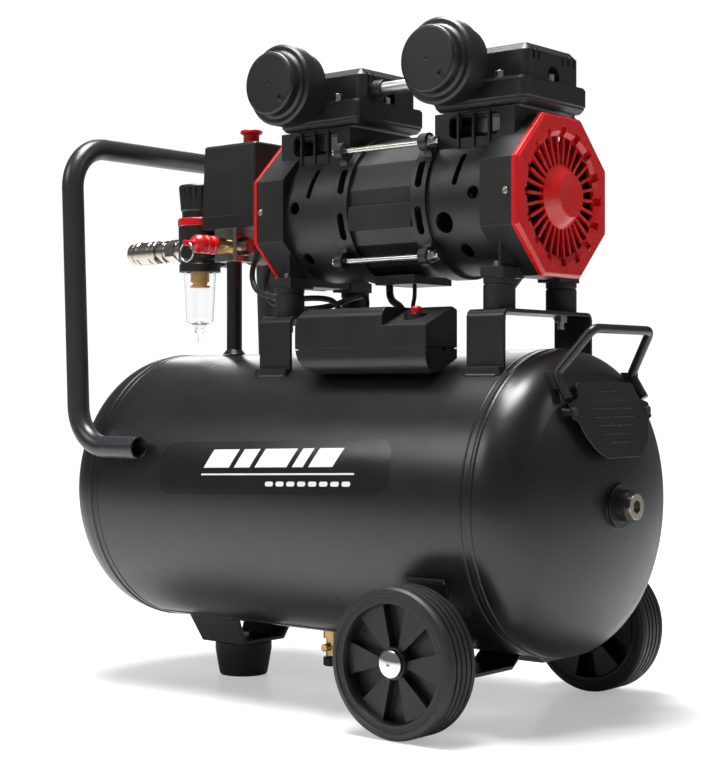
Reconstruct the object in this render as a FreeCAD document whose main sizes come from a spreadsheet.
import FreeCAD, Part
import math
import os

import Sketcher
from FreeCAD import Placement, Rotation, Vector

# Twin-cylinder oil-free air compressor on a horizontal receiver.
# Millimetres. +X points to the wheel end, -Y is the front, +Z is up.
# The origin is on the floor, in the middle of the whole machine.

DIMENSIONS = {
    # receiver
    "tank_radius": 125,
    "tank_wall": 2.5,
    "tank_axis_z": 176,
    "seam_left": -218.5,
    "seam_right": 215,
    "skirt": 10,
    "dome_depth": 53.6,
    "knuckle": 38,
    "boss_radius": 18,
    "boss_neck_radius": 13,
    "plug_radius": 10.5,
    "plug_bore": 7,
    "right_end": 285,
    # wheels and axle
    "wheel_radius": 58.7,
    "wheel_width": 35,
    "wheel_inner_y": 122,
    "rim_radius": 49,
    "axle_x": 161,
    "axle_radius": 5,
    "axle_clearance": 0.05,
    "wheel_arm_y": 107.5,
    "wheel_arm_width": 41,
    "wheel_arm_base_z": 40,
    # foot
    "foot_x": -142,
    "foot_radius": 26.5,
    "foot_height": 32,
    "foot_arm_span": 28,
    # handles
    "tube_radius": 10,
    "tube_wall": 1.5,
    "push_y": 129.2,
    "push_low_z": 216,
    "push_top_z": 494,
    "push_front_x": -147,
    "push_leg_x": -227,
    "push_top_x": -238,
    "push_low_bend": 38,
    "push_top_bend": 40,
    "rod_radius": 3.75,
    # motor bridges and mounts
    "sheet": 3,
    "bridge_left_x": -42,
    "bridge_right_x": 185,
    "bridge_width": 36,
    "bridge_half": 65,
    "bridge_top_z": 332.5,
    "mount_radius": 13,
    "mount_height": 25,
    "mount_y": 45,
    "mount_bolt": 3,
    # motor and pump
    "motor_x": 74,
    "motor_z": 424.7,
    "octagon_half": 65,
    "octagon_start": 106,
    "octagon_end": 137,
    "case_wall": 3.5,
    "case_radius": 61,
    "flange_start": 34,
    "flange_end": 50,
    "flange_radius": 64,
    "lug_y": 56,
    "lug_rise": 47,
    "lug_radius": 7.5,
    "lug_start": 41.5,
    "lug_end": 49.5,
    "tie_radius": 2.5,
    "stator_half": 60,
    "shaft_radius": 5,
    "pump_offset": 86,
    "crank_throw": 8,
    "crank_radius": 8,
    "bore_radius": 24,
    "sleeve_radius": 27,
    "neck_half_x": 40,
    "neck_half_y": 45,
    "deck_z": 495,
    "head_base_z": 497,
    "head_top_z": 518.5,
    "head_half": 47,
    "head_shift": 4,
    "cover_half_x": 44,
    "cover_front_y": -38,
    "cover_back_y": 38,
    "cover_top_z": 547,
    "filter_shift": -11,
    "filter_z": 531.5,
    "filter_radius": 35,
    "filter_cap_radius": 27.5,
    "fan_radius": 50,
    "pipe_y": -19.5,
    "pipe_z": 529,
    "pipe_radius": 5.5,
    # pressure line
    "riser_x": -146.5,
    "line_y": -8,
    "riser_radius": 7.2,
    "manifold_half": 14,
    "manifold_base_z": 388,
    "switch_base_z": 418.2,
    "switch_seam_z": 430,
    "switch_top_z": 497,
    "switch_left": -170.5,
    "switch_right": -99.5,
    "switch_half": 29,
    "knob_x": -132,
    "knob_stem": 7.5,
    "regulator_x": -192.5,
    "regulator_radius": 20.5,
    "bowl_top_z": 380.5,
    "bowl_low_z": 330,
    "collar_z": 424,
    "line_z": 402.5,
    "left_end": -285,
    "socket_radius": 5.2,
    "socket_depth": 20,
    "gauge_radius": 15.5,
    "gauge_z": 402.3,
    "gauge_front_y": 32,
    "safety_x": -142,
    "safety_z": 402,
    "ring_radius": 8.5,
    "drain_x": -30,
    "check_x": 105,
    "check_y": 50,
    # capacitor housing
    "box_left": 4.6,
    "box_right": 145,
    "box_front_y": -90,
    "box_back_y": -48,
    "box_low_z": 281,
    "box_seam_z": 301.7,
    "box_top_z": 336,
    "reset_x": 120,
    "reset_y": -70,
}

SLIDE_GAP = 0.3
PRESS_GAP = 0.02

doc = FreeCAD.newDocument("AirCompressor")
sheet = doc.addObject("Spreadsheet::Sheet", "Sizes")
for row, (alias, value) in enumerate(DIMENSIONS.items(), start=1):
    sheet.set(f"A{row}", alias.replace("_", " "))
    sheet.set(f"B{row}", f"{value:g}")
    sheet.setAlias(f"B{row}", alias)
doc.recompute()


class Size:
    """A length that knows its number and the sheet formula that it comes from."""

    def __init__(self, number, formula):
        self.number = float(number)
        self.formula = formula

    def join(self, sign, other, number):
        return Size(number, f"({self.formula} {sign} {size(other).formula})")

    def __add__(self, other):
        return self.join("+", other, self.number + size(other).number)

    def __sub__(self, other):
        return self.join("-", other, self.number - size(other).number)

    def __mul__(self, other):
        return self.join("*", other, self.number * size(other).number)

    def __truediv__(self, other):
        return self.join("/", other, self.number / size(other).number)

    def __radd__(self, other):
        return size(other) + self

    def __rsub__(self, other):
        return size(other) - self

    def __rmul__(self, other):
        return size(other) * self

    def __neg__(self):
        return size(0) - self


def size(value):
    """Any length as a Size."""
    if isinstance(value, Size):
        return value
    return Size(value, f"({value:.6g})")


class Sheet:
    """The driving dimensions by name, such as dim.tank_radius."""

    def __getattr__(self, alias):
        return Size(DIMENSIONS[alias], f"Sizes.{alias}")


dim = Sheet()
nodes = []

ALONG = {
    "+X": Rotation(Vector(0, 0, 1), Vector(1, 0, 0)),
    "-X": Rotation(Vector(0, 0, 1), Vector(-1, 0, 0)),
    "+Y": Rotation(Vector(0, 0, 1), Vector(0, 1, 0)),
    "-Y": Rotation(Vector(0, 0, 1), Vector(0, -1, 0)),
    "+Z": Rotation(),
    "-Z": Rotation(Vector(1, 0, 0), 180),
}
# A pad's outline lies in one plane of the machine and its length along the third axis.
OUTLINE_YZ = Rotation(Vector(1, 1, 1), 120)
OUTLINE_XZ = Rotation(Vector(1, 0, 0), 90)
OUTLINE_XY = Rotation()


# ---- building helpers -------------------------------------------------------


def bind(thing, prop, value):
    """Set one size of an object, tied to the sheet where it comes from there."""
    if isinstance(value, Size):
        thing.setExpression(prop, value.formula)
    else:
        setattr(thing, prop, value)


def place(thing, at, turn=None):
    """Put an object at a point that follows the sheet."""
    base = Vector(*[size(value).number for value in at])
    thing.Placement = Placement(base, turn or Rotation())
    for letter, value in zip("xyz", at):
        if isinstance(value, Size):
            thing.setExpression("Placement.Base." + letter, value.formula)


def rod(name, radius, length, at, along="+Z"):
    """A cylinder that starts at a point and runs along an axis."""
    thing = doc.addObject("Part::Cylinder", name)
    bind(thing, "Radius", radius)
    bind(thing, "Height", length)
    place(thing, at, ALONG[along])
    return thing


def cone(name, radius, end_radius, length, at, along="+Z"):
    """A cone that starts at a point and runs along an axis."""
    thing = doc.addObject("Part::Cone", name)
    bind(thing, "Radius1", radius)
    bind(thing, "Radius2", end_radius)
    bind(thing, "Height", length)
    place(thing, at, ALONG[along])
    return thing


def block(name, xs, ys, zs, turn=None):
    """A box between two limits on each axis."""
    thing = doc.addObject("Part::Box", name)
    for prop, limits in zip(("Length", "Width", "Height"), (xs, ys, zs)):
        bind(thing, prop, size(limits[1]) - limits[0])
    place(thing, (xs[0], ys[0], zs[0]), turn)
    return thing


def hexagon(name, across_flats, length, at, along="+Z"):
    """A hexagonal bar that starts at a point."""
    thing = doc.addObject("Part::Prism", name)
    thing.Polygon = 6
    bind(thing, "Circumradius", size(across_flats) / math.sqrt(3))
    bind(thing, "Height", length)
    place(thing, at, ALONG[along])
    return thing


def ring(name, radius, wire, at, along="+Z"):
    """A wire ring about an axis."""
    thing = doc.addObject("Part::Torus", name)
    bind(thing, "Radius1", radius)
    bind(thing, "Radius2", wire)
    place(thing, at, ALONG[along])
    return thing


def fuse(name, *pieces):
    """One solid made of several."""
    thing = doc.addObject("Part::MultiFuse", name)
    thing.Shapes = list(pieces)
    thing.Refine = True
    return thing


def cut(name, base, *tools):
    """A solid with others taken away."""
    thing = doc.addObject("Part::Cut", name)
    thing.Base = base
    thing.Tool = tools[0] if len(tools) == 1 else fuse(name + "_tools", *tools)
    thing.Refine = True
    return thing


def common(name, first, second):
    """What two solids share."""
    thing = doc.addObject("Part::Common", name)
    thing.Base = first
    thing.Tool = second
    thing.Refine = True
    return thing


def group(name, *solids):
    """Several separate solids that share one node."""
    thing = doc.addObject("Part::Compound", name)
    thing.Links = list(solids)
    return thing


def mirrored(name, source, normal=(0, 1, 0), base=(0, 0, 0)):
    """The source reflected in a plane, by default front to rear."""
    thing = doc.addObject("Part::Mirroring", name)
    thing.Source = source
    thing.Base = Vector(*[size(value).number for value in base])
    thing.Normal = Vector(*normal)
    return thing


def add_node(thing):
    """Hand in an object as a sub-part; its label is the node's name."""
    nodes.append(thing)
    return thing


def new_sketch(body, role):
    """A sketch on one of its own body's origin planes."""
    sketch = body.newObject("Sketcher::SketchObject", body.Name + "_outline")
    plane = [item for item in body.Origin.OriginFeatures if item.Role == role][0]
    sketch.AttachmentSupport = [(plane, "")]
    sketch.MapMode = "FlatFace"
    return sketch


def arc_edge(start, end, radius):
    """The short arc between two points; a positive radius has its centre on the left."""
    chord = end - start
    rise = math.sqrt(max(radius * radius - chord.Length * chord.Length / 4, 0))
    left = Vector(-chord.y, chord.x, 0).normalize()
    centre = (start + end) * 0.5 + left * math.copysign(rise, radius)
    first, last = (start, end) if radius > 0 else (end, start)
    angles = [math.atan2((point - centre).y, (point - centre).x) for point in (first, last)]
    circle = Part.Circle(centre, Vector(0, 0, 1), abs(radius))
    return Part.ArcOfCircle(circle, angles[0], angles[1])


def draw(sketch, corners):
    """A closed outline. A corner (u, v, r) joins the next one by an arc of radius r."""
    points = [Vector(size(item[0]).number, size(item[1]).number, 0) for item in corners]
    ends = []
    for index, corner in enumerate(corners):
        start, end = points[index], points[(index + 1) % len(points)]
        if len(corner) == 3:
            radius = size(corner[2])
            edge = sketch.addGeometry(arc_edge(start, end, radius.number), False)
            ends.append((edge, 1, 2) if radius.number > 0 else (edge, 2, 1))
        else:
            edge = sketch.addGeometry(Part.LineSegment(start, end), False)
            ends.append((edge, 1, 2))
    for index, corner in enumerate(corners):
        edge, begin, finish = ends[index]
        following, entry, _ = ends[(index + 1) % len(ends)]
        sketch.addConstraint(Sketcher.Constraint("Coincident", edge, finish, following, entry))
        for kind, value in (("DistanceX", corner[0]), ("DistanceY", corner[1])):
            limit = Sketcher.Constraint(kind, -1, 1, edge, begin, size(value).number)
            name = sketch.addConstraint(limit)
            sketch.setExpression(f"Constraints[{name}]", size(value).formula)
        if len(corner) == 3:
            radius = size(corner[2])
            limit = Sketcher.Constraint("Radius", edge, abs(radius.number))
            name = sketch.addConstraint(limit)
            sketch.setExpression(f"Constraints[{name}]", f"abs({radius.formula})")


def revolved(name, corners, at, along="+Z"):
    """A body turned from an outline of (radius, distance along the axis)."""
    body = doc.addObject("PartDesign::Body", name)
    sketch = new_sketch(body, "XZ_Plane")
    draw(sketch, corners)
    turned = body.newObject("PartDesign::Revolution", name + "_revolution")
    turned.Profile = sketch
    turned.ReferenceAxis = (sketch, ["V_Axis"])
    turned.Angle = 360
    place(body, at, ALONG[along])
    return body


def padded(name, corners, length, at, turn, taper=0):
    """A body padded from an outline, with its length along the third axis."""
    body = doc.addObject("PartDesign::Body", name)
    sketch = new_sketch(body, "XY_Plane")
    draw(sketch, corners)
    pad = body.newObject("PartDesign::Pad", name + "_pad")
    pad.Profile = sketch
    bind(pad, "Length", length)
    pad.TaperAngle = taper
    place(body, at, turn)
    return body


def dress(body, kind, amount, wanted):
    """Fillet or chamfer the edges of a body's last feature that pass a test."""
    doc.recompute()
    tip = body.Tip
    names = [f"Edge{index}" for index, edge in enumerate(tip.Shape.Edges, 1) if wanted(edge)]
    feature = body.newObject("PartDesign::" + kind, f"{body.Name}_{kind.lower()}_{len(body.Group)}")
    feature.Base = (tip, names)
    bind(feature, "Radius" if kind == "Fillet" else "Size", amount)
    body.Tip = feature
    return feature


def cap_curve(radius, rise):
    """The radius of the ball that rises this much over a disc."""
    return (size(radius) * radius + size(rise) * rise) / (2 * size(rise))


def upright(edge):
    """Is an edge straight and along the pad's length?"""
    direction = edge.tangentAt(edge.FirstParameter)
    return len(edge.Vertexes) == 2 and abs(direction.z) > 0.95


def at_height(level):
    """A test for the edges that lie at one height of a pad."""

    def test(edge):
        box = edge.BoundBox
        return abs(box.ZMin - level) < 0.01 and abs(box.ZMax - level) < 0.01

    return test


def rectangle(left, right, low, high):
    """The corners of a rectangle."""
    return [(left, low), (right, low), (right, high), (left, high)]


def polygon(sides, half_width):
    """The corners of a regular polygon with one flat on top, by its half width."""
    radius = size(half_width) / math.cos(math.pi / sides)
    angles = [math.pi * (2 * index + 1) / sides for index in range(sides)]
    return [(radius * math.sin(angle), radius * math.cos(angle)) for angle in angles]


def slotted(name, width, length, depth, at, turn):
    """A bar with nearly half-round ends, to cut a slot with."""
    half, straight = size(width) / 2, (size(length) - width) / 2
    bend = half * 1.03
    corners = [(-half, -straight, bend), (half, -straight), (half, straight, bend), (-half, straight)]
    return padded(name, corners, depth, at, turn)


def bent_path(points, radii):
    """A wire of straight runs joined by tangent arcs."""
    edges = []
    start = points[0]
    for index, radius in enumerate(radii, start=1):
        corner = points[index]
        before = (corner - points[index - 1]).normalize()
        after = (points[index + 1] - corner).normalize()
        half_turn = before.getAngle(after) / 2
        setback = radius * math.tan(half_turn)
        entry, leave = corner - before * setback, corner + after * setback
        bisector = (after - before).normalize()
        middle = corner + bisector * (radius / math.cos(half_turn) - radius)
        if (entry - start).Length > 1e-6:
            edges.append(Part.LineSegment(start, entry).toShape())
        edges.append(Part.Arc(entry, middle, leave).toShape())
        start = leave
    edges.append(Part.LineSegment(start, points[-1]).toShape())
    return Part.Wire(edges)


def swept(points, radii, radius, inner=0):
    """A round bar or tube along a bent path."""
    path = bent_path(points, radii)
    heading = (points[1] - points[0]).normalize()
    shapes = []
    for size_across in (radius, inner):
        if size_across:
            circle = Part.Wire([Part.Circle(points[0], heading, size_across).toShape()])
            shapes.append(path.makePipeShell([circle], True, True))
    solid = shapes[0].cut(shapes[1]) if inner else shapes[0]
    expected = math.pi * (radius**2 - inner**2) * path.Length
    if abs(solid.Volume - expected) > 0.01 * expected:
        raise RuntimeError(f"swept bar has volume {solid.Volume:.1f}, expected {expected:.1f}")
    return solid, path.Length


def easy_radii(points):
    """The bend radius at each corner of a cable: as large as its two runs allow."""
    radii = []
    for before, corner, after in zip(points, points[1:], points[2:]):
        first, second = corner - before, after - corner
        half_turn = first.getAngle(second) / 2
        radii.append(0.45 * min(first.Length, second.Length) / math.tan(half_turn))
    return radii


def feature(name, shape):
    """A sub-part whose shape is computed here from the sheet."""
    thing = doc.addObject("Part::Feature", name)
    thing.Shape = shape
    thing.Placement = Placement()
    return thing


def at_motor(side, near, far):
    """The X limits of something between two distances from the motor's middle."""
    ends = [dim.motor_x + side * size(value) for value in (near, far)]
    return (ends[0], ends[1]) if side > 0 else (ends[1], ends[0])


def number(alias):
    """A driving dimension read back from the sheet."""
    return float(sheet.get(alias))


SIDES = {"left": -1, "right": 1}
OUTWARD = {"left": "-X", "right": "+X"}
FRONT_REAR = {"front": (-1, "-Y"), "rear": (1, "+Y")}


# ---- receiver ---------------------------------------------------------------


def dome_outline(hollow):
    """Skirt, knuckle and crown of a pressed head; distance 0 is where the dome starts."""
    radius, depth, knuckle, wall = dim.tank_radius, dim.dome_depth, dim.knuckle, dim.tank_wall
    reach = radius - knuckle
    crown = (depth * depth - knuckle * knuckle + reach * reach) / (2 * (depth - knuckle))
    centre = depth - crown
    span = crown - knuckle
    outer = (crown * reach / span, centre - crown * centre / span)
    if not hollow:
        return [
            (0, -dim.skirt),
            (radius, -dim.skirt),
            (radius, 0, knuckle),
            (outer[0], outer[1], crown),
            (0, depth),
        ]
    inside = crown - wall
    inner = (inside * reach / span, centre - inside * centre / span)
    return [
        (radius - wall, -dim.skirt),
        (radius, -dim.skirt),
        (radius, 0, knuckle),
        (outer[0], outer[1], crown),
        (0, depth),
        (0, depth - wall, -inside),
        (inner[0], inner[1], wall - knuckle),
        (radius - wall, 0),
    ]


def tank_solid(name):
    """The filled round of the receiver, for trimming what is welded to it."""
    start = dim.seam_left
    length = dim.seam_right - dim.seam_left
    return rod(name, dim.tank_radius, length, (start, 0, dim.tank_axis_z), "+X")


def make_receiver():
    length = dim.seam_right - dim.seam_left - 2 * dim.skirt
    start = (dim.seam_left + dim.skirt, 0, dim.tank_axis_z)
    top = dim.tank_axis_z + 110
    add_node(
        cut(
            "tank_shell",
            rod("shell_outside", dim.tank_radius, length, start, "+X"),
            rod("shell_inside", dim.tank_radius - dim.tank_wall, length, start, "+X"),
            rod("riser_port", 4, 30, (dim.riser_x, dim.line_y, top)),
            rod("check_port", 4, 30, (dim.check_x, dim.check_y, top - 15)),
            rod("drain_port", 4, 30, (dim.drain_x, 0, dim.tank_axis_z - 140)),
        )
    )
    at_left = (dim.seam_left, 0, dim.tank_axis_z)
    at_right = (dim.seam_right, 0, dim.tank_axis_z)
    add_node(revolved("tank_head_left", dome_outline(True), at_left, "-X"))
    dome = revolved("right_dome", dome_outline(True), at_right, "+X")
    crown_x = dim.seam_right + dim.dome_depth
    boss = rod("boss", dim.boss_radius, 5, (crown_x - 2, 0, dim.tank_axis_z), "+X")
    neck_length = dim.right_end - 4 - crown_x + 2
    neck = rod(
        "boss_neck", dim.boss_neck_radius, neck_length, (crown_x - 2, 0, dim.tank_axis_z), "+X"
    )
    port = rod("boss_port", dim.plug_bore, 30, (crown_x - 15, 0, dim.tank_axis_z), "+X")
    add_node(cut("tank_head_right", fuse("dome_and_boss", dome, boss, neck), port))

    thread_start = (dim.right_end - 18, 0, dim.tank_axis_z)
    flange_start = (dim.right_end - 4, 0, dim.tank_axis_z)
    thread = rod("plug_thread", dim.plug_bore - PRESS_GAP, 14, thread_start, "+X")
    flange = rod("plug_flange", dim.plug_radius, 4, flange_start, "+X")
    socket_start = (dim.right_end - 7, 0, dim.tank_axis_z)
    socket = hexagon("plug_socket", 10, 7, socket_start, "+X")
    add_node(cut("inspection_plug", fuse("plug_solid", thread, flange), socket))


def make_drain_valve():
    bottom = dim.tank_axis_z - dim.tank_radius
    at = (dim.drain_x, 0, bottom - 7)
    bung = rod("drain_bung", 9, 6.8, at)
    body = rod("drain_body", 6.5, 16, (dim.drain_x, 0, bottom - 23))
    spout = rod("drain_spout", 3.5, 13, (dim.drain_x, 0, bottom - 15), "-Y")
    hole = rod("drain_stem_hole", 3 + 0.05, 12, (dim.drain_x, 0, bottom - 23))
    add_node(cut("drain_valve_body", fuse("drain_solid", bung, body, spout), hole))
    knob = revolved(
        "drain_knob_turning",
        [(0, 0), (8.5, 0), (9, 1), (9, 7), (8, 8), (3, 8), (3, 18), (0, 18)],
        (dim.drain_x, 0, bottom - 32),
    )
    grips = []
    for index in range(6):
        angle = math.radians(60 * index)
        at = (dim.drain_x + 10 * math.cos(angle), 10 * math.sin(angle), bottom - 33)
        grips.append(rod(f"drain_grip_{index}", 2, 12, at))
    add_node(cut("drain_knob", knob, *grips))


def make_foot():
    """A sheet saddle with flared arms on one rubber foot."""
    low, span = dim.foot_height, dim.foot_arm_span
    flare = 17
    rise = 34
    saddle_outline = [
        (-span, low),
        (span, low),
        (span + flare, low + rise),
        (span + flare - dim.sheet, low + rise),
        (span - 3, low + dim.sheet),
        (3 - span, low + dim.sheet),
        (dim.sheet - span - flare, low + rise),
        (-span - flare, low + rise),
    ]
    half = 31
    base_half = 26
    saddle = padded("saddle", saddle_outline, 2 * half, (dim.foot_x - half, 0, 0), OUTLINE_YZ)
    side_outline = [
        (-base_half, low - 1),
        (base_half, low - 1),
        (half, low + 25),
        (half, low + rise + 1),
        (-half, low + rise + 1),
        (-half, low + 25),
    ]
    side = padded("saddle_side", side_outline, 120, (dim.foot_x, 60, 0), OUTLINE_XZ)
    hole = rod("saddle_hole", 3.2, 10, (dim.foot_x, 0, low - 3))
    trimmed = common("saddle_tapered", saddle, side)
    add_node(cut("foot_bracket", trimmed, tank_solid("tank_over_foot"), hole))

    radius, height = dim.foot_radius, dim.foot_height
    outline = [
        (3.2, height),
        (3.2, 6),
        (9, 6),
        (9, 0),
        (radius - 5, 0),
        (radius - 4, 1.5),
        (radius - 2.5, 9),
        (radius, height - 8),
        (radius, height - 1.5),
        (radius - 1.5, height),
    ]
    add_node(revolved("rubber_foot", outline, (dim.foot_x, 0, 0)))


def make_wheel_bracket():
    """One strap that rises to the receiver in its middle, with an arm up past each axle."""
    inner, low, thick = dim.wheel_arm_y, dim.wheel_arm_base_z, dim.sheet
    outer = inner + thick
    bend = 9
    top = 122
    flat_end, crest, rise = 22, 10, 9
    outline = [
        (bend - outer, low),
        (-flat_end, low),
        (-crest, low + rise),
        (crest, low + rise),
        (flat_end, low),
        (outer - bend, low, bend),
        (outer, low + bend),
        (outer, top),
        (inner, top),
        (inner, low + bend, thick - bend),
        (outer - bend, low + thick),
        (flat_end - 1, low + thick),
        (crest - 1, low + rise + thick),
        (1 - crest, low + rise + thick),
        (1 - flat_end, low + thick),
        (bend - outer, low + thick, thick - bend),
        (-inner, low + bend),
        (-inner, top),
        (-outer, top),
        (-outer, low + bend, bend),
    ]
    half = dim.wheel_arm_width / 2
    strap = padded("wheel_strap", outline, dim.wheel_arm_width, (dim.axle_x - half, 0, 0), OUTLINE_YZ)
    hole = rod("axle_hole", dim.axle_radius + 0.1, 300, (dim.axle_x, 150, dim.wheel_radius), "-Y")
    add_node(cut("wheel_bracket", strap, tank_solid("tank_over_strap"), hole))


def make_axles():
    """Each wheel's shoulder bolt, nut, spacer, retainer and domed cap."""
    inner, outer = dim.wheel_arm_y, dim.wheel_arm_y + dim.sheet
    wheel_start = dim.wheel_inner_y
    solids = []
    for name, (side, along) in FRONT_REAR.items():

        def point(distance):
            return (dim.axle_x, side * size(distance), dim.wheel_radius)

        bolt = rod(name + "_bolt", dim.axle_radius, 57, point(outer - 12.5), along)
        nut = hexagon(name + "_nut_hex", 15, 7, point(inner - 7), along)
        nut_hole = rod(name + "_nut_hole", dim.axle_radius, 9, point(inner - 8), along)
        spacer = rod(name + "_spacer_out", 8.5, wheel_start - outer - 0.3, point(outer), along)
        spacer_hole = rod(name + "_spacer_in", dim.axle_radius, 30, point(outer - 1), along)
        cap_outline = [(0, 0), (10.5, 0), (10.5, 0.6, cap_curve(10.5, 2.4)), (0, 3)]
        cap = revolved(name + "_hub_cap", cap_outline, point(wheel_start + 33), along)
        washer = rod(name + "_washer_out", 9, 1.4, point(wheel_start + 31.4), along)
        washer_hole = rod(name + "_washer_in", dim.axle_radius, 3, point(wheel_start + 31), along)
        solids += [
            bolt,
            cut(name + "_nut", nut, nut_hole),
            cut(name + "_spacer", spacer, spacer_hole),
            cut(name + "_washer", washer, washer_hole),
            cap,
        ]
    add_node(group("axle_bolts", *solids))


def wheel_rim(name, at, along):
    """Moulded rim: hub, web, outer ring and six raised wedge spokes."""
    bore = dim.axle_radius + dim.axle_clearance
    rim, web_low, web_high = dim.rim_radius, 17, 20
    face = dim.wheel_width - 4
    outline = [
        (bore, 0),
        (12, 0),
        (13, web_low),
        (rim - 4, web_low),
        (rim - 3, 1),
        (rim, 1),
        (rim, face + 3),
        (rim - 2.5, face + 3),
        (rim - 3.5, face),
        (rim - 4, web_high),
        (13, web_high),
        (12.5, face),
        (bore, face),
    ]
    body = revolved(name, outline, at, along)
    doc.recompute()
    sketch = body.newObject("Sketcher::SketchObject", name + "_spoke_outline")
    plane = [item for item in body.Origin.OriginFeatures if item.Role == "XY_Plane"][0]
    sketch.AttachmentSupport = [(plane, "")]
    sketch.MapMode = "FlatFace"
    half_angle = math.radians(16)
    tip = rim - 3.8
    draw(
        sketch,
        [
            (12, -2.5),
            (tip * math.cos(half_angle), -tip * math.sin(half_angle), tip),
            (tip * math.cos(half_angle), tip * math.sin(half_angle)),
            (12, 2.5),
        ],
    )
    spoke = body.newObject("PartDesign::Pad", name + "_spoke")
    spoke.Profile = sketch
    spoke.Length = 28
    pattern = body.newObject("PartDesign::PolarPattern", name + "_spokes")
    pattern.Originals = [spoke]
    pattern.Axis = (sketch, ["N_Axis"])
    pattern.Angle = 360
    pattern.Occurrences = 6
    body.Tip = pattern
    return body


def tyre_outline():
    """Tread with four grooves, rounded shoulders and a stepped sidewall."""
    tread, width, bore = dim.wheel_radius, dim.wheel_width, dim.rim_radius
    groove = 1.6
    corners = [(bore, 1), (tread - 5, 0), (tread - 1.5, 1.2), (tread, 4)]
    for start in (7.5, 13.5, 19.5, 25.5):
        corners += [
            (tread, start),
            (tread - groove, start),
            (tread - groove, start + 2),
            (tread, start + 2),
        ]
    corners += [
        (tread, width - 4),
        (tread - 1.5, width - 1.2),
        (tread - 5, width),
        (tread - 6, width),
        (tread - 6.4, width - 1),
        (bore, width - 1),
    ]
    return corners


def make_wheels():
    for name, (side, along) in FRONT_REAR.items():
        at = (dim.axle_x, side * dim.wheel_inner_y, dim.wheel_radius)
        add_node(wheel_rim("wheel_rim_" + name, at, along))
        add_node(revolved("tyre_" + name, tyre_outline(), at, along))


# ---- handles and plate ------------------------------------------------------


def make_push_handle():
    """One bent tube: lower legs along the receiver, up, and across."""
    low, top = number("push_low_z"), number("push_top_z")
    leg_x, top_x = number("push_leg_x"), number("push_top_x")
    half = number("push_y")
    points = [
        Vector(number("push_front_x"), -half, low),
        Vector(leg_x, -half, low),
        Vector(top_x, -half, top),
        Vector(top_x, half, top),
        Vector(leg_x, half, low),
        Vector(number("push_front_x"), half, low),
    ]
    low_bend, top_bend = number("push_low_bend"), number("push_top_bend")
    radii = [low_bend, top_bend, top_bend, low_bend]
    radius = number("tube_radius")
    tube, _ = swept(points, radii, radius, radius - number("tube_wall"))
    add_node(feature("push_handle", tube))


def make_lifting_handle():
    """A bent rod on the wheel-end dome, with a lug at each knee."""
    radius = number("rod_radius")
    base = number("seam_right")
    points = [
        Vector(base + 43, -57, 261),
        Vector(base + 31.5, -56, 280),
        Vector(base + 57, -43, 315.5),
        Vector(base + 57, 43, 315.5),
        Vector(base + 31.5, 56, 280),
        Vector(base + 43, 57, 261),
    ]
    bar, _ = swept(points, [6, 9, 9, 6], radius)
    handle = feature("lifting_bar", bar)
    at = (dim.seam_right, 0, dim.tank_axis_z)
    dome = revolved("dome_under_lugs", dome_outline(False), at, "+X")
    lugs = []
    for name, side in (("front", -1), ("rear", 1)):
        lugs.append(block(name + "_lug", (238, 251), (side * 56 - 3, side * 56 + 3), (268, 282)))
    trimmed = cut("lugs_on_dome", fuse("lugs", *lugs), dome)
    add_node(fuse("lifting_handle", handle, trimmed))


def make_rating_plate():
    """A blank plate that leans back along the wheel-end dome, on two posts."""
    lean = 16.7
    turn = Rotation(Vector(0, 1, 0), -lean).multiply(OUTLINE_YZ)
    half, height, ear, ear_hole = 51, 62, 58.5, 54.5
    top_half, corner = 43.5, 7
    outline = [
        (-24, 0),
        (24, 0, 46),
        (half, 30),
        (ear, 33),
        (ear, 45),
        (top_half + 1.5, 49),
        (top_half, height - corner, corner),
        (top_half - corner, height),
        (corner - top_half, height, corner),
        (-top_half, height - corner),
        (-top_half - 1.5, 49),
        (-ear, 45),
        (-ear, 33),
        (-half, 30, 46),
    ]
    at = (dim.seam_right + 57, 0, dim.tank_axis_z + 38)
    plate = padded("plate_sheet", outline, 1.6, at, turn)
    posts = []
    for name, side in (("front", -1), ("rear", 1)):
        post_at = (dim.seam_right + 30, side * size(ear_hole), dim.tank_axis_z + 75)
        posts.append(rod(name + "_plate_post", 3.5, 16, post_at, "+X"))
    dome_at = (dim.seam_right, 0, dim.tank_axis_z)
    dome = revolved("dome_under_plate", dome_outline(False), dome_at, "+X")
    trimmed = cut("plate_posts", fuse("plate_posts_raw", *posts), dome)
    tilt = math.radians(lean)
    heads = []
    for name, side in (("front", -1), ("rear", 1)):
        head_x_at = at[0] - 39 * math.sin(tilt) - 1
        head_at = (head_x_at, side * size(ear_hole), at[2] + 39 * math.cos(tilt))
        heads.append(rod(name + "_plate_head", 3.4, 4, head_at, "+X"))
    leaning = cut("plate_on_dome", plate, dome)
    add_node(fuse("rating_plate", leaning, trimmed, *heads))


# ---- motor bridges and mounts -----------------------------------------------


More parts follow.
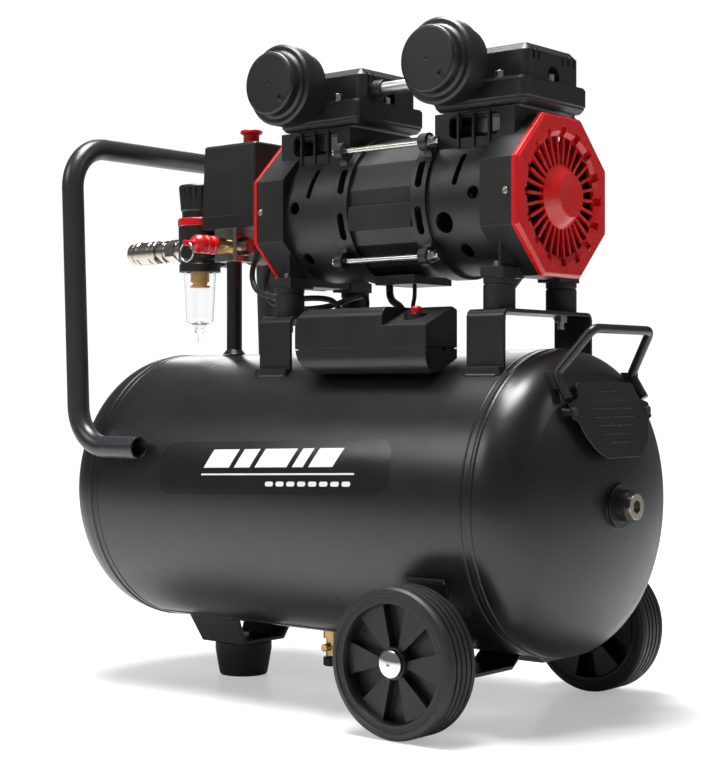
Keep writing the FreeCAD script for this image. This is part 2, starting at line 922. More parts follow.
def bridge(name, centre_x):
    """An inverted U of sheet, trimmed to the receiver, with a weld lip on each leg."""
    half, top, thick, bend = dim.bridge_half, dim.bridge_top_z, dim.sheet, 7
    low = 276
    outline = [
        (half - thick, low),
        (half, low),
        (half, top - bend, bend),
        (half - bend, top),
        (bend - half, top, bend),
        (-half, top - bend),
        (-half, low),
        (thick - half, low),
        (thick - half, top - bend, thick - bend),
        (bend - half, top - thick),
        (half - bend, top - thick, thick - bend),
        (half - thick, top - bend),
    ]
    start = centre_x - dim.bridge_width / 2
    arch = padded(name + "_arch", outline, dim.bridge_width, (start, 0, 0), OUTLINE_YZ)
    pieces = [arch]
    for side_name, side in (("front", -1), ("rear", 1)):
        limits = sorted((side * 64, side * 71))
        lip = block(
            f"{name}_{side_name}_lip",
            (start, start + dim.bridge_width),
            (size(limits[0]), size(limits[1])),
            (size(270), size(286)),
        )
        pieces.append(lip)
    holes = []
    for side_name, side in (("front", -1), ("rear", 1)):
        at = (centre_x, side * dim.mount_y, top - 10)
        holes.append(rod(f"{name}_{side_name}_hole", dim.mount_bolt + 0.2, 20, at))
    return cut(name, fuse(name + "_solid", *pieces), tank_solid(name + "_tank"), *holes)


def make_bridges():
    bridges = [
        bridge("bridge_left", dim.bridge_left_x),
        bridge("bridge_right", dim.bridge_right_x),
    ]
    add_node(group("motor_brackets", *bridges))


def mount_places():
    """The four places where the motor stands on the bridges."""
    for side_name, centre_x in (("left", dim.bridge_left_x), ("right", dim.bridge_right_x)):
        for row_name, side in (("front", -1), ("rear", 1)):
            yield f"{side_name}_{row_name}", centre_x, side * dim.mount_y


def make_rubber_mounts():
    radius, height = dim.mount_radius, dim.mount_height
    outline = [
        (dim.mount_bolt + 0.1, 0),
        (radius, 0),
        (radius, height - 6),
        (radius - 1, height - 5),
        (radius, height - 4),
        (radius, height),
        (dim.mount_bolt + 0.1, height),
    ]
    mounts = []
    for name, x, y in mount_places():
        mounts.append(revolved("mount_" + name, outline, (x, y, dim.bridge_top_z)))
    add_node(group("rubber_mounts", *mounts))


# ---- motor and pump ---------------------------------------------------------


def lug_places():
    """The four tie-rod corners round the motor."""
    for name, side_y, side_z in (
        ("front_low", -1, -1),
        ("front_high", -1, 1),
        ("rear_low", 1, -1),
        ("rear_high", 1, 1),
    ):
        yield name, side_y * dim.lug_y, dim.motor_z + side_z * dim.lug_rise


def motor_foot(name, x):
    """The motor's front foot and its rear twin: a pad with a web up to the octagon."""
    low = dim.bridge_top_z + dim.mount_height
    pad = block(name + "_pad", (x - 11, x + 11), (-(dim.mount_y + 11), size(-26)), (low, low + 9))
    reach = dim.mount_y + 10
    bevel = dim.motor_z - dim.octagon_half * (1 + math.tan(math.pi / 8)) + 1
    outline = [
        (-reach, low + 8),
        (size(-34), low + 8),
        (size(-34), bevel + 34),
        (-reach, bevel + reach),
    ]
    web = padded(name + "_web", outline, 2.5, (x + 6, 0, 0), OUTLINE_YZ)
    foot = fuse(name + "_one", pad, web)
    return [foot, mirrored(name + "_two", foot)]


def case_windows(name, side):
    """The slots and holes in the front wall of a crankcase, and their rear copies."""
    z = dim.motor_z
    inner_y = -dim.case_radius + 31
    depth = 46
    tools = []
    middle = dim.motor_x + side * (dim.flange_start + dim.flange_end) / 2
    for index, rise in enumerate((20.5, -17.5)):
        at = (middle, inner_y, z + rise)
        tools.append(slotted(f"{name}_flange_slot_{index}", 7, 24.5, depth, at, OUTLINE_XZ))
    slant = Rotation(Vector(0, 1, 0), 10).multiply(OUTLINE_XZ)
    slant_at = (dim.motor_x + side * size(79), inner_y, z + 22)
    tools.append(slotted(name + "_slanted_slot", 5, 28, depth, slant_at, slant))
    holes = [(96, 1.5, 5.4), (78, -43, 5.5) if side > 0 else (94, -42, 5)]
    if side > 0:
        holes.append((65, -20.5, 8.5))
    for index, (offset, rise, radius) in enumerate(holes):
        at = (dim.motor_x + side * size(offset), inner_y, z + rise)
        tools.append(rod(f"{name}_hole_{index}", radius, depth, at, "-Y"))
    windows = fuse(name + "_front_windows", *tools)
    return [windows, mirrored(name + "_rear_windows", windows)]


def crankcase(name, side):
    """Half of the motor's housing: flange, round case, octagon end, neck and feet."""
    axis = (0, dim.motor_z)
    pump_x = dim.motor_x + side * dim.pump_offset
    outward = OUTWARD["right" if side > 0 else "left"]

    def along_motor(distance):
        return (dim.motor_x + side * size(distance), *axis)

    flange_length = dim.flange_end - dim.flange_start
    lug_length = dim.lug_end - dim.lug_start
    case_length = dim.octagon_start - dim.flange_start + 3
    pieces = [
        rod(name + "_case", dim.case_radius, case_length, along_motor(dim.flange_start), outward),
        rod(name + "_flange", dim.flange_radius, flange_length, along_motor(dim.flange_start), outward),
    ]
    octagon_limits = at_motor(side, dim.octagon_start, dim.octagon_end)
    length = dim.octagon_end - dim.octagon_start
    octagon = padded(
        name + "_octagon",
        polygon(8, dim.octagon_half),
        length,
        (octagon_limits[0], *axis),
        OUTLINE_YZ,
    )
    pieces.append(octagon)
    neck = block(
        name + "_neck",
        (pump_x - dim.neck_half_x, pump_x + dim.neck_half_x),
        (-dim.neck_half_y, dim.neck_half_y),
        (dim.motor_z + 20, dim.deck_z),
    )
    pieces.append(neck)
    lug_x = dim.motor_x + side * dim.lug_start
    for lug_name, y, z in lug_places():
        root_at = (lug_x, y * 0.85, dim.motor_z + (z - dim.motor_z) * 0.85)
        pieces.append(rod(f"{name}_lug_{lug_name}", dim.lug_radius, lug_length, (lug_x, y, z), outward))
        pieces.append(
            rod(f"{name}_lug_root_{lug_name}", dim.lug_radius, lug_length, root_at, outward)
        )
    foot_x = dim.bridge_right_x if side > 0 else dim.bridge_left_x
    pieces += motor_foot(name + "_foot", foot_x)
    solid = fuse(name + "_solid", *pieces)

    inside = dim.case_radius - dim.case_wall
    hollow_length = dim.octagon_start - dim.flange_start
    hollows = [
        rod(name + "_hollow", inside, hollow_length, along_motor(dim.flange_start + 4), outward),
        padded(
            name + "_octagon_hollow",
            polygon(8, dim.octagon_half - dim.case_wall),
            length,
            (at_motor(side, dim.octagon_start + 4, dim.octagon_end + 4)[0], *axis),
            OUTLINE_YZ,
        ),
        rod(name + "_sleeve_bore", dim.sleeve_radius + 0.05, 60, (pump_x, 0, dim.motor_z + 30)),
    ]
    ceiling = dim.deck_z - 4
    wall = 3
    neck_inside = block(
        name + "_neck_inside",
        (pump_x - dim.neck_half_x + wall, pump_x + dim.neck_half_x - wall),
        (wall - dim.neck_half_y, dim.neck_half_y - wall),
        (dim.motor_z + dim.case_radius - 26, ceiling),
    )
    round_core = rod(
        name + "_round_core", dim.case_radius, dim.neck_half_x * 2 + 2,
        (pump_x - dim.neck_half_x - 1, *axis), "+X",
    )
    hollows.append(cut(name + "_neck_hollow", neck_inside, round_core))
    hollows.append(rod(name + "_shaft_hole", 11, 20, along_motor(dim.flange_start - 5), outward))
    for lug_name, y, z in lug_places():
        at = (dim.motor_x + side * (dim.flange_start - 2), y, z)
        hollows.append(rod(f"{name}_tie_hole_{lug_name}", dim.tie_radius + 0.1, 40, at, outward))
    for row_name, row in (("front", -1), ("rear", 1)):
        at = (foot_x, row * dim.mount_y, dim.bridge_top_z)
        hollows.append(rod(f"{name}_foot_hole_{row_name}", dim.mount_bolt + 0.2, 40, at))
    window_low, window_high = dim.deck_z - 21.5, dim.deck_z - 2.5
    window = padded(
        name + "_neck_window",
        rectangle(size(-25.5), size(25.5), window_low, window_high),
        2 * dim.neck_half_y + 4,
        (pump_x, dim.neck_half_y + 2, 0),
        OUTLINE_XZ,
    )
    dress(window, "Fillet", 6, upright)
    window_core = block(
        name + "_window_core",
        (pump_x - 26, pump_x + 26),
        (4 - dim.neck_half_y, dim.neck_half_y - 4),
        (window_low - 1, window_high + 1),
    )
    hollows.append(cut(name + "_neck_openings", window, window_core))
    hollows += case_windows(name, side)
    opened = cut(name + "_open", solid, *hollows)

    hub_start = along_motor(dim.flange_start + 4)
    hub = cut(
        name + "_hub",
        rod(name + "_hub_out", 14.5, 8, hub_start, outward),
        rod(name + "_hub_in", 11, 8, hub_start, outward),
    )
    ribs = []
    for index in (-1, 0, 1):
        for row_name, y in (("front", -dim.neck_half_y - 1.5), ("rear", dim.neck_half_y - 2.5)):
            x = pump_x + 15.5 * index
            limits = (dim.motor_z + 38, dim.deck_z)
            rib_name = f"{name}_rib_{row_name}_{index + 1}"
            ribs.append(block(rib_name, (x - 1.1, x + 1.1), (y, y + 4), limits))
    return fuse(name, opened, hub, *ribs)


def make_motor():
    for name, side in SIDES.items():
        add_node(crankcase("crankcase_" + name, side))

    start = dim.motor_x - dim.flange_start
    length = 2 * dim.flange_start
    shell = padded(
        "stator_outside", polygon(16, dim.stator_half), length, (start, 0, dim.motor_z), OUTLINE_YZ
    )
    steps = []
    for name, y_side in (("front", -1), ("rear", 1)):
        limits = sorted((y_side * 58, y_side * 62.5))
        steps.append(
            block(
                name + "_shell_step",
                (start, start + length),
                (size(limits[0]), size(limits[1])),
                (dim.motor_z - 22, dim.motor_z - 2),
            )
        )
    tray = block(
        "lead_tray",
        (start + 0.5, start + 44),
        (-26, 26),
        (dim.motor_z - dim.stator_half - 6.5, dim.motor_z - dim.stator_half + 1.5),
    )
    inside = rod("stator_inside", 56.2, length, (start, 0, dim.motor_z), "+X")
    add_node(cut("stator_shell", fuse("stator_solid", shell, tray, *steps), inside))

    core_start = (dim.motor_x - 28, 0, dim.motor_z)
    core = cut(
        "laminations",
        rod("core_outside", 56, 56, core_start, "+X"),
        rod("core_inside", 30.5, 56, core_start, "+X"),
    )
    windings = []
    for name, side in SIDES.items():
        at = (dim.motor_x + side * 28, 0, dim.motor_z)
        outline = [(34, 0), (50, 0), (50, 3, 2), (48, 5), (36, 5, 2), (34, 3)]
        windings.append(revolved("winding_" + name, outline, at, OUTWARD[name]))
    add_node(group("stator_core", core, *windings))

    bearings = []
    for name, side in SIDES.items():
        at = (dim.motor_x + side * size(39), 0, dim.motor_z)
        outline = [
            (dim.shaft_radius + 0.05, 0),
            (7, 0),
            (7.5, 0.8),
            (9, 0.8),
            (9.5, 0),
            (11 - PRESS_GAP, 0),
            (11 - PRESS_GAP, 7),
            (9.5, 7),
            (9, 6.2),
            (7.5, 6.2),
            (7, 7),
            (dim.shaft_radius + 0.05, 7),
        ]
        bearings.append(revolved("bearing_" + name, outline, at, OUTWARD[name]))
    add_node(group("shaft_bearings", *bearings))

    shaft_start = (dim.motor_x - 128, 0, dim.motor_z)
    pieces = [
        rod("shaft_bar", dim.shaft_radius, 256, shaft_start, "+X"),
        rod("rotor", 29.5, 56, (dim.motor_x - 28, 0, dim.motor_z), "+X"),
    ]
    for name, side in SIDES.items():
        at = (dim.motor_x + side * (dim.pump_offset - 6), side * dim.crank_throw, dim.motor_z)
        pieces.append(rod("crank_" + name, dim.crank_radius, 12, at, OUTWARD[name]))
    add_node(fuse("motor_shaft", *pieces))

    fans = [cooling_fan("fan_" + name, side, OUTWARD[name]) for name, side in SIDES.items()]
    add_node(group("cooling_fans", *fans))


def cooling_fan(name, side, outward):
    """A radial fan: a hub, a thin back plate and nine blades."""
    at = (dim.motor_x + side * size(113), 0, dim.motor_z)
    bore = dim.shaft_radius + PRESS_GAP
    outline = [(bore, 0), (dim.fan_radius, 0), (dim.fan_radius, 1.5), (11, 1.5), (10, 13), (bore, 13)]
    body = revolved(name, outline, at, outward)
    doc.recompute()
    sketch = body.newObject("Sketcher::SketchObject", name + "_blade_outline")
    plane = [item for item in body.Origin.OriginFeatures if item.Role == "XY_Plane"][0]
    sketch.AttachmentSupport = [(plane, "")]
    sketch.MapMode = "FlatFace"
    draw(sketch, rectangle(9, dim.fan_radius - 0.5, -0.8, 0.8))
    blade = body.newObject("PartDesign::Pad", name + "_blade")
    blade.Profile = sketch
    blade.Length = 13
    pattern = body.newObject("PartDesign::PolarPattern", name + "_blades")
    pattern.Originals = [blade]
    pattern.Axis = (sketch, ["N_Axis"])
    pattern.Angle = 360
    pattern.Occurrences = 9
    body.Tip = pattern
    return body


def polar_pocket(body, name, outline, depth, count):
    """Pockets cut from the body's outer face, repeated round its axis."""
    sketch = body.newObject("Sketcher::SketchObject", name + "_outline")
    plane = [item for item in body.Origin.OriginFeatures if item.Role == "XY_Plane"][0]
    sketch.AttachmentSupport = [(plane, "")]
    sketch.AttachmentOffset = Placement(Vector(0, 0, 6), Rotation())
    sketch.MapMode = "FlatFace"
    draw(sketch, outline)
    pocket = body.newObject("PartDesign::Pocket", name)
    pocket.Profile = sketch
    pocket.Length = depth
    pattern = body.newObject("PartDesign::PolarPattern", name + "_ring")
    pattern.Originals = [pocket]
    pattern.Axis = (sketch, ["N_Axis"])
    pattern.Angle = 360
    pattern.Occurrences = count
    body.Tip = pattern


def fan_cover(name, side, outward):
    """The octagonal end grille: bevelled rim, sunk ring of thin fins and a coned hub."""
    at = (dim.motor_x + side * dim.octagon_end, 0, dim.motor_z)
    body = padded(name + "_grille", polygon(8, dim.octagon_half + 0.5), 6, at, ALONG[outward])
    dress(body, "Chamfer", 2.5, at_height(6))
    doc.recompute()
    solid_volume = body.Shape.Volume
    count, fin, inner, outer = 30, 2.4, 24, 49
    wide = [math.pi * radius / count - fin / 2 for radius in (inner, outer)]
    wedge = [(inner, -wide[0]), (outer, -wide[1]), (outer, wide[1]), (inner, wide[0])]
    polar_pocket(body, name + "_slot", wedge, 6, count)
    polar_pocket(body, name + "_step", rectangle(47, 56.5, -3.6, 3.6), 4.4, 16)
    doc.recompute()
    if body.Shape.Volume > 0.8 * solid_volume:
        raise RuntimeError("the fan cover's slots cut nothing")
    sink_at = (at[0] + side * size(3.4), 0, dim.motor_z)
    sink = cone(name + "_sink", 49.5, 53.5, 3, sink_at, outward)
    hub_outline = [
        (0, 0),
        (26.5, 0),
        (26.5, 4),
        (17.5, 13.5),
        (16, 13.5, -cap_curve(16, 1.6)),
        (0, 11.9),
    ]
    hub = revolved(name + "_hub", hub_outline, at, outward)
    return fuse(name, cut(name + "_ring", body, sink), hub)


def make_fan_covers():
    covers = [fan_cover("cover_" + name, side, OUTWARD[name]) for name, side in SIDES.items()]
    add_node(group("fan_covers", *covers))


def make_tie_rods():
    solids = []
    start = dim.motor_x - dim.lug_end
    far_end = dim.motor_x + dim.lug_end
    for name, y, z in lug_places():
        bar = rod(name + "_tie_bar", dim.tie_radius, 2 * dim.lug_end + 11, (start - 2, y, z), "+X")
        head = rod(name + "_tie_head", 4.2, 4, (start - 4.05, y, z), "+X")
        nut = hexagon(name + "_tie_nut", 8, 5, (far_end + 1.4, y, z), "+X")
        washer = rod(name + "_tie_washer", 5.4, 1.4, (far_end + 0.05, y, z), "+X")
        solids.append(fuse(name + "_tie", bar, head, nut, washer))
    add_node(group("tie_rods", *solids))


def make_pistons():
    """Cup pistons on rigid rods; each big end is open round its crank."""
    throw = dim.crank_throw
    eye = dim.crank_radius + 2 * throw + 0.5
    crown = dim.deck_z - 1 - throw
    for name, side in SIDES.items():
        x = dim.motor_x + side * dim.pump_offset
        label = "piston_" + name
        outer = rod(label + "_eye_out", eye + 4.5, 10, (x - 5, 0, dim.motor_z), "+X")
        inner = rod(label + "_eye_in", eye, 10, (x - 5, 0, dim.motor_z), "+X")
        big_end = cut(label + "_big_end", outer, inner)
        stem = block(
            label + "_stem", (x - 4, x + 4), (-6, 6), (dim.motor_z + eye + 2, crown - 5)
        )
        cup = rod(label + "_cup", dim.bore_radius - SLIDE_GAP, 8, (x, 0, crown - 8))
        add_node(fuse(label, big_end, stem, cup))


def make_cylinders():
    """Cylinder sleeves with the valve plates above them."""
    solids = []
    for name, side in SIDES.items():
        x = dim.motor_x + side * dim.pump_offset
        foot_z = dim.deck_z - 33
        sleeve = cut(
            "sleeve_" + name,
            rod(name + "_sleeve_out", dim.sleeve_radius, 33, (x, 0, foot_z)),
            rod(name + "_sleeve_in", dim.bore_radius, 33, (x, 0, foot_z)),
        )
        corner = 38
        centre_x = x + dim.head_shift / 2
        plate = block(
            name + "_plate_blank",
            (centre_x - corner, centre_x + corner),
            (-size(corner), size(corner)),
            (dim.deck_z, dim.head_base_z),
        )
        ports = []
        for index, (dx, dy) in enumerate(((-9, 0), (9, 0), (0, 9))):
            ports.append(rod(f"{name}_port_{index}", 3, 8, (x + dx, dy, dim.deck_z - 2)))
        solids += [sleeve, cut("valve_plate_" + name, plate, *ports)]
    add_node(group("cylinder_sleeves", *solids))


def head_x(side):
    """The X of a head's middle."""
    return dim.motor_x + side * dim.pump_offset + dim.head_shift


def bolt_places(side):
    """The four bolts of a head, one near the middle of each edge."""
    for index, (dx, dy) in enumerate(((20, -42.5), (40, -1), (-20, 42.5), (-40, 1))):
        yield index, head_x(side) + dx, size(dy)


def make_heads():
    blocks = []
    covers = []
    for name, side in SIDES.items():
        x = head_x(side)
        half = dim.head_half
        height = dim.head_top_z - dim.head_base_z
        lower = padded(
            name + "_head_lower",
            rectangle(1.2 - half, half - 1.2, 1.2 - half, half - 1.2),
            height,
            (x, 0, dim.head_base_z),
            OUTLINE_XY,
        )
        dress(lower, "Fillet", 6, upright)
        dress(lower, "Chamfer", 3.5, at_height(0))
        upper = padded(
            name + "_head_upper",
            rectangle(-half, half, -half, half),
            height - 6.5,
            (x, 0, dim.head_base_z + 5),
            OUTLINE_XY,
        )
        dress(upper, "Fillet", 7, upright)
        dress(upper, "Chamfer", 1.1, at_height(0))
        blocks.append(fuse("head_" + name, lower, upper))
        covers += head_cover(name, side)
    add_node(group("cylinder_heads", *blocks))
    add_node(group("head_covers", *covers))


def head_cover(name, side):
    """A finned cover with an arched bolt recess at each end, and its pipe nut."""
    x = head_x(side)
    front, back = dim.cover_front_y, dim.cover_back_y
    half = dim.cover_half_x
    height = dim.cover_top_z - dim.head_top_z
    body = padded(
        name + "_cover_body",
        rectangle(-half, half, front, back),
        height,
        (x, 0, dim.head_top_z),
        OUTLINE_XY,
    )
    dress(body, "Fillet", 7, upright)
    dress(body, "Chamfer", 6, at_height(height.number))
    tools = []
    for end_name, end in SIDES.items():
        arch_at = (x + end * (half - 9), -end * size(1), dim.head_top_z + 4.5)
        tools.append(rod(f"{name}_{end_name}_arch", 8.5, 14, arch_at, OUTWARD[end_name]))
        limits = (x + end * half - 2.2, x + end * half + 2.2)
        for index, y in enumerate((-31, -23.5, 10.5, 19, 27.5)):
            zs = (dim.head_top_z + 15, dim.cover_top_z + 2)
            tools.append(block(f"{name}_{end_name}_fin_{index}", limits, (size(y), size(y + 3)), zs))
    for index in range(5):
        fin_x = x - 20 + 9 * index
        zs = (dim.cover_top_z - 2.5, dim.cover_top_z + 2)
        limits = (fin_x, fin_x + 4)
        tools.append(block(f"{name}_top_fin_{index}", limits, (size(-22), size(24)), zs))
    finned = cut("head_cover_" + name, body, *tools)
    inward = "-X" if side > 0 else "+X"
    nut_at = (x - side * half, dim.pipe_y, dim.pipe_z)
    bore = dim.pipe_radius + 0.05
    nut_outline = [
        (bore, 0),
        (8, 0),
        (8, 2.4),
        (7.1, 2.9),
        (7.1, 3.7),
        (8, 4.2),
        (8, 6.2),
        (7.1, 6.7),
        (7.1, 7.5),
        (7.8, 8),
        (7.4, 9.5),
        (bore, 9.5),
    ]
    return [finned, revolved("pipe_nut_" + name, nut_outline, nut_at, inward)]


def make_intake_filters():
    """A round filter housing on a short neck, and its cap, for each head."""
    solids = []
    for name, side in SIDES.items():
        x = dim.motor_x + side * dim.pump_offset + dim.filter_shift
        at = (x, dim.cover_front_y, dim.filter_z)
        radius, cap = dim.filter_radius, dim.filter_cap_radius
        housing = revolved(
            "filter_housing_" + name,
            [
                (0, 0.05),
                (12.5, 0.05),
                (12.5, 12),
                (radius - 8, 12.5),
                (radius - 3.5, 16),
                (radius - 3.5, 26),
                (radius, 28.5),
                (radius, 42),
                (radius - 2, 44),
                (radius - 6, 44),
                (radius - 6, 24),
                (8, 21),
                (8, 20),
                (0, 20),
            ],
            at,
            "-Y",
        )
        cap_body = revolved(
            "filter_cap_" + name,
            [
                (0, 44.05),
                (cap + 2, 44.05),
                (cap, 46),
                (cap, 53, 3),
                (cap - 3, 56),
                (1.6, 56),
                (1.2, 55.2),
                (0, 55.2),
            ],
            at,
            "-Y",
        )
        notch_at = (x + 14.2, dim.cover_front_y - 54.4, dim.filter_z - 14.2)
        notch_turn = Rotation(Vector(0, 1, 0), -45).multiply(OUTLINE_XZ)
        notch = slotted(name + "_notch", 4.6, 9, 14, notch_at, notch_turn)
        solids += [housing, cut("filter_lid_" + name, cap_body, notch)]
    add_node(group("intake_filters", *solids))


def make_transfer_pipe():
    start = head_x(-1) + dim.cover_half_x
    length = head_x(1) - dim.cover_half_x - start
    at = (start, dim.pipe_y, dim.pipe_z)
    bar = rod("transfer_bar", dim.pipe_radius, length, at, "+X")
    hole = rod("transfer_hole", dim.pipe_radius - 1.2, length, at, "+X")
    add_node(cut("transfer_pipe", bar, hole))


# ---- pressure line ----------------------------------------------------------


def make_riser():
    x, y = dim.riser_x, dim.line_y
    top = dim.tank_axis_z + dim.tank_radius
    pipe = rod("riser_out", dim.riser_radius, dim.manifold_base_z - top, (x, y, top))
    collar = cone("riser_weld", 11, 7, 5, (x, y, top))
    hole = rod("riser_in", 4, dim.manifold_base_z - top, (x, y, top))
    add_node(cut("riser_pipe", fuse("riser_solid", pipe, collar), hole))


def make_manifold():
    """The nickel block under the switch, with its side fittings."""
    x, y, half = dim.riser_x, dim.line_y, dim.manifold_half
    zs = (dim.manifold_base_z, dim.switch_base_z)
    core = padded(
        "manifold_core",
        rectangle(-half, half, -half, half),
        zs[1] - zs[0],
        (x, y, zs[0]),
        OUTLINE_XY,
    )
    dress(core, "Chamfer", 2, upright)
    gap = x - half - dim.regulator_x - dim.regulator_radius
    left_nipple = hexagon("left_nipple", 15, gap, (x - half, y, dim.line_z), "-X")
    right_plug = hexagon("right_plug", 14, 8, (x + half, y, dim.line_z), "+X")
    right_cap = rod("right_plug_flange", 8.5, 3, (x + half, y, dim.line_z), "+X")
    inlet = rod("manifold_inlet", 4, 20, (x, y, zs[0]))
    gauge_port = rod("manifold_gauge_stub", 6, 8, (x, y + half, dim.gauge_z), "+Y")
    solid = fuse("manifold_solid", core, left_nipple, right_plug, right_cap, gauge_port)
    add_node(cut("manifold", solid, inlet))


def make_switch():
    left, right, half = dim.switch_left, dim.switch_right, dim.switch_half
    middle = (left + right) / 2
    half_length = (right - left) / 2
    base = padded(
        "switch_tray",
        rectangle(-half_length, half_length, -half, half),
        dim.switch_seam_z - dim.switch_base_z,
        (middle, 0, dim.switch_base_z),
        OUTLINE_XY,
    )
    dress(base, "Fillet", 4, upright)
    gland_at = (dim.switch_left + 16, half, dim.switch_base_z + 4.7)
    gland = rod("cord_gland_body", 4.6, 8, gland_at, "+Y")
    gland_sleeve = cone("cord_gland_sleeve", 4.2, 3.2, 14, gland_at, "+Y")
    gland_hole = rod("cord_gland_hole", 2.6, 20, gland_at, "+Y")
    add_node(cut("switch_base", fuse("switch_base_solid", base, gland, gland_sleeve), gland_hole))

    height = dim.switch_top_z - dim.switch_seam_z
    shell = padded(
        "switch_shell",
        rectangle(-half_length, half_length, -half, half),
        height,
        (middle, 0, dim.switch_seam_z),
        OUTLINE_XY,
        taper=-1.6,
    )
    dress(shell, "Fillet", 4, upright)
    dress(shell, "Fillet", 3, at_height(height.number))
    wall = 5
    inside = block(
        "switch_inside",
        (left + wall, right - wall),
        (wall - half, half - wall),
        (dim.switch_seam_z, dim.switch_top_z - 3),
    )
    hole_at = (dim.knob_x, 0, dim.switch_top_z - 10)
    hole = rod("knob_hole", dim.knob_stem + SLIDE_GAP, 20, hole_at)
    add_node(cut("switch_cover", shell, inside, hole))

    stem, flange, rise = dim.knob_stem, 10.4, 15
    outline = [
        (0, -22),
        (stem, -22),
        (stem, rise - 4.4),
        (flange - 1.2, rise - 3.8),
        (flange, rise - 3),
        (flange, rise - 0.8),
        (flange - 0.8, rise),
        (0, rise),
    ]
    add_node(revolved("switch_knob", outline, (dim.knob_x, 0, dim.switch_top_z)))


def make_regulator():
    x, y, radius = dim.regulator_x, dim.line_y, dim.regulator_radius
    low, top = dim.bowl_top_z, dim.collar_z
    height = top - low
    outline = [
        (16, 0),
        (radius - 0.7, 0),
        (radius - 0.7, 7),
        (radius - 1.7, 8.5),
        (radius - 1.7, 11),
        (radius, 12.5),
        (radius, height),
        (14, height),
        (14, height + 14),
        (4, height + 14),
        (4, 14),
        (16, 14),
    ]
    body = revolved("regulator_barrel", outline, (x, y, low))
    gauge_stub = rod("regulator_gauge_stub", 5, 8, (x, y + 16, dim.gauge_z), "+Y")
    add_node(fuse("regulator_body", body, gauge_stub))

    ring_outline = [
        (14 + PRESS_GAP, 0),
        (radius, 0),
        (radius + 0.6, 0.8),
        (radius + 0.6, 6.8),
        (radius - 0.6, 8),
        (14 + PRESS_GAP, 8),
    ]
    add_node(revolved("regulator_ring", ring_outline, (x, y, top)))

    knob_outline = [
        (15.5, 0),
        (17, 0),
        (17.3, 6),
        (18.3, 7.5),
        (20.2, 29),
        (20.2, 30),
        (19, 31.5),
        (0, 31.5),
        (0, 12),
        (14.3, 12),
        (14.3, 0.6),
    ]
    knob = revolved("regulator_knob_turning", knob_outline, (x, y, top + 8 + SLIDE_GAP))
    grooves = []
    count = 20
    for index in range(count):
        angle = 2 * math.pi * index / count
        at = (x + 20.2 * math.cos(angle), y + 20.2 * math.sin(angle), top + 17)
        grooves.append(rod(f"knob_groove_{index}", 1.6, 20, at))
    add_node(cut("regulator_knob", knob, *grooves))

    depth = dim.bowl_top_z - dim.bowl_low_z
    bowl = revolved(
        "bowl_shell",
        [
            (15.5, 10),
            (14, 10),
            (14, 0),
            (11.5, 4 - depth, -9),
            (4, 1.6 - depth),
            (4, -depth - 2),
            (5.5, -depth - 2),
            (5.5, -depth, 11),
            (13, 4 - depth),
            (15.5, 0),
        ],
        (x, y, low),
    )
    drain = revolved(
        "bowl_drain",
        [(0, 3), (3.9, 3), (3.9, -3), (5.5, -4), (5.5, -7), (2.5, -9), (2.5, -17), (0, -17)],
        (x, y, dim.bowl_low_z),
    )
    add_node(group("filter_bowl", bowl, drain))
    element = revolved(
        "filter_element",
        [(0, 10), (9, 10), (9, -9), (7, -10), (7, -13), (9.5, -13), (9.5, -14.5), (0, -14.5)],
        (x, y, low),
    )
    add_node(element)


def make_coupler():
    """The quick coupler: nickel body with its socket, and the sliding sleeve."""
    y, z = dim.line_y, dim.line_z
    mouth = dim.left_end
    root = dim.regulator_x - dim.regulator_radius
    length = root - mouth
    outline = [
        (dim.socket_radius, 0),
        (9.6, 0),
        (10.2, 0.6),
        (10.2, 6),
        (8.6, 7),
        (8.6, length - 28),
        (11, length - 27),
        (11, length - 23),
        (9.4, length - 22),
        (9.4, length),
        (0, length),
        (0, dim.socket_depth),
        (dim.socket_radius, dim.socket_depth),
    ]
    barrel = revolved("coupler_barrel", outline, (mouth, y, z), "+X")
    nut = hexagon("coupler_nut", 20, 12, (root - 18, y, z), "+X")
    add_node(fuse("coupler_body", barrel, nut))
    bore = 8.6 + SLIDE_GAP
    sleeve_length = length - 28 - 6 - 8
    add_node(
        revolved(
            "coupler_sleeve",
            [
                (bore, 0),
                (10.3, 0),
                (11.4, 1.2),
                (11.4, 5),
                (10.6, 6),
                (10.6, 8),
                (11.4, 9),
                (11.4, sleeve_length - 9),
                (10.6, sleeve_length - 8),
                (10.6, sleeve_length - 6),
                (11.4, sleeve_length - 5),
                (11.4, sleeve_length - 1),
                (10.6, sleeve_length),
                (bore, sleeve_length),
            ],
            (mouth + 8, y, z),
            "+X",
        )
    )


def make_safety_valve():
    x, z = dim.safety_x, dim.safety_z
    face = dim.line_y - dim.manifold_half
    nipple = rod("safety_nipple", 6.2, 6, (x, face, z), "-Y")
    hexnut = hexagon("safety_hex", 14, 11, (x, face - 6, z), "-Y")
    spigot = rod("safety_spigot", 5, 32, (x, face, z), "-Y")
    add_node(fuse("safety_valve_body", nipple, hexnut, spigot))
    cap_outline = [
        (5 + SLIDE_GAP, 0),
        (7.6, 0),
        (8.6, 1),
        (8.6, 5),
        (7.6, 6),
        (7.6, 8),
        (8.6, 9),
        (8.6, 13),
        (7.6, 14),
        (7.6, 16),
        (8.6, 17),
        (8.6, 22),
        (6.6, 26),
        (4.2, 27.5),
        (2.6, 28),
        (2.6, 38.5),
        (0, 38.5),
        (0, 17),
        (5 + SLIDE_GAP, 17),
    ]
    cap_start = face - 17.5
    cap = revolved("safety_cap", cap_outline, (x, cap_start, z), "-Y")
    pivot_y = cap_start - 35.5
    eye = rod("safety_eye", 1.35, 10, (x - 5, pivot_y, z), "+X")
    add_node(cut("safety_valve_cap", cap, eye))
    loop_at = (x, pivot_y, z - dim.ring_radius)
    add_node(ring("safety_ring", dim.ring_radius, 0.8, loop_at, "+Y"))


